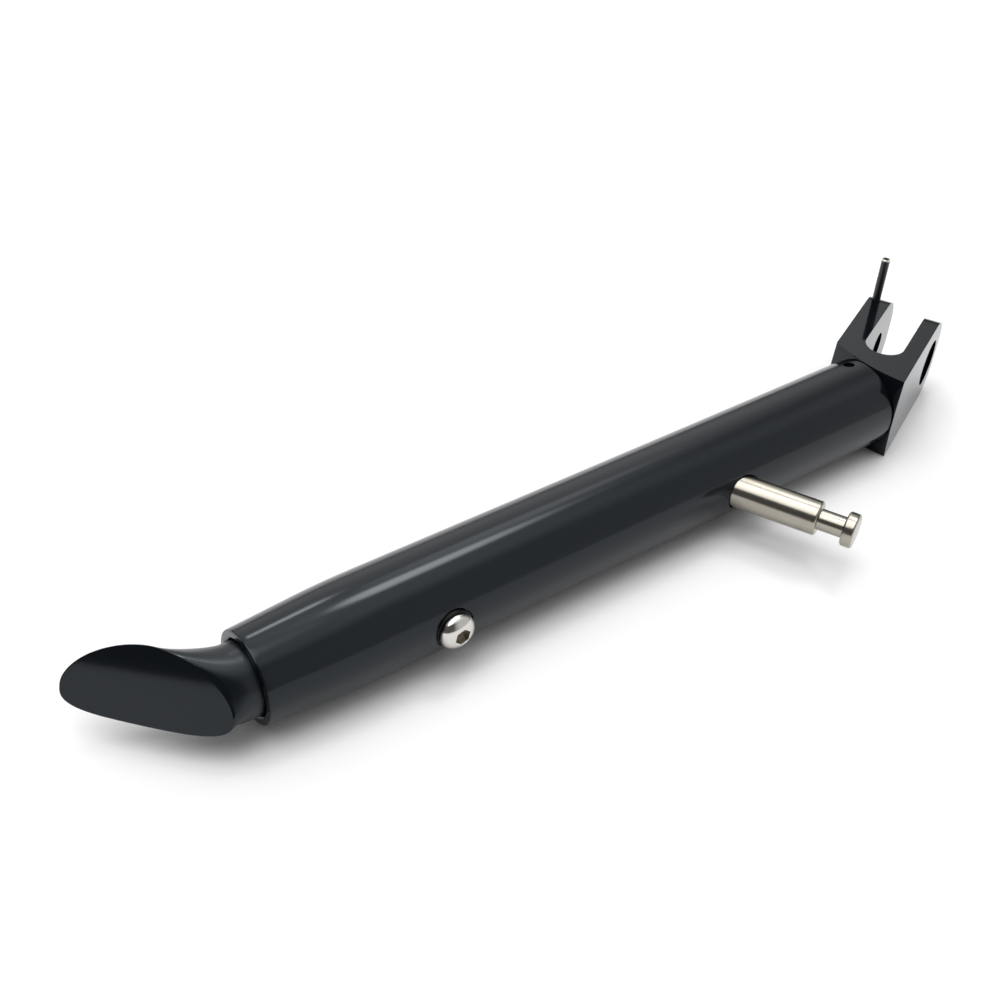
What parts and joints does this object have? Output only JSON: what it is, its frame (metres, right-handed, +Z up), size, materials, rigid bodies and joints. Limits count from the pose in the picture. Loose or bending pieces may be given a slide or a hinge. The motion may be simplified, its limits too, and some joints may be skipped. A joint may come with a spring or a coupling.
{
  "type": "motorcycle kickstand",
  "caption": "Adjustable-length motorcycle side stand: round tube with a yawed pivot fork, a flared foot that slides in the tube, a lock screw and a spring stud.",
  "frame": {"origin": "middle of the footprint, on the surface that the stand lies on", "axes": "+X along the tube from the foot to the fork, +Z up from the surface, the spring stud and lock screw point to -Y"},
  "size_m": [0.3234, 0.0836, 0.0465],
  "materials": {
    "black_anodised": "satin black anodised",
    "black_anodised_fork": "polished black anodised",
    "black_anodised_foot": "polished black anodised",
    "turned_stainless": "turned stainless",
    "polished_stainless": "polished stainless",
    "black_oxide_steel": "black oxide"
  },
  "bodies": {
    "leg": {"main_tube": "black_anodised", "clevis_fork": "black_anodised_fork", "clevis_set_screw": "black_oxide_steel", "spring_stud": "turned_stainless", "switch_pin": "black_oxide_steel"},
    "sliding_foot": {"foot": "black_anodised_foot"},
    "washer": {"lock_washer": "black_oxide_steel"},
    "lock_screw": {"length_lock_screw": "polished_stainless"}
  },
  "joints": [
    {"name": "foot_slide", "type": "slide", "parent": "leg", "child": "sliding_foot", "axis": [-1, 0, 0], "range_m": [0, 0.05]},
    {"name": "washer_lift", "type": "slide", "parent": "leg", "child": "washer", "axis": [0, -1, 0], "range_m": [0, 0.001]},
    {"name": "lock_screw_turn", "type": "hinge", "parent": "washer", "child": "lock_screw", "pos_m": [-0.06703, 0.00756, 0.015], "axis": [0, -1, 0], "range_deg": [0, 360]}
  ],
  "couplings": [
    {"joint": "washer_lift", "follows": "lock_screw_turn", "m_per_rad": 0.000159}
  ]
}
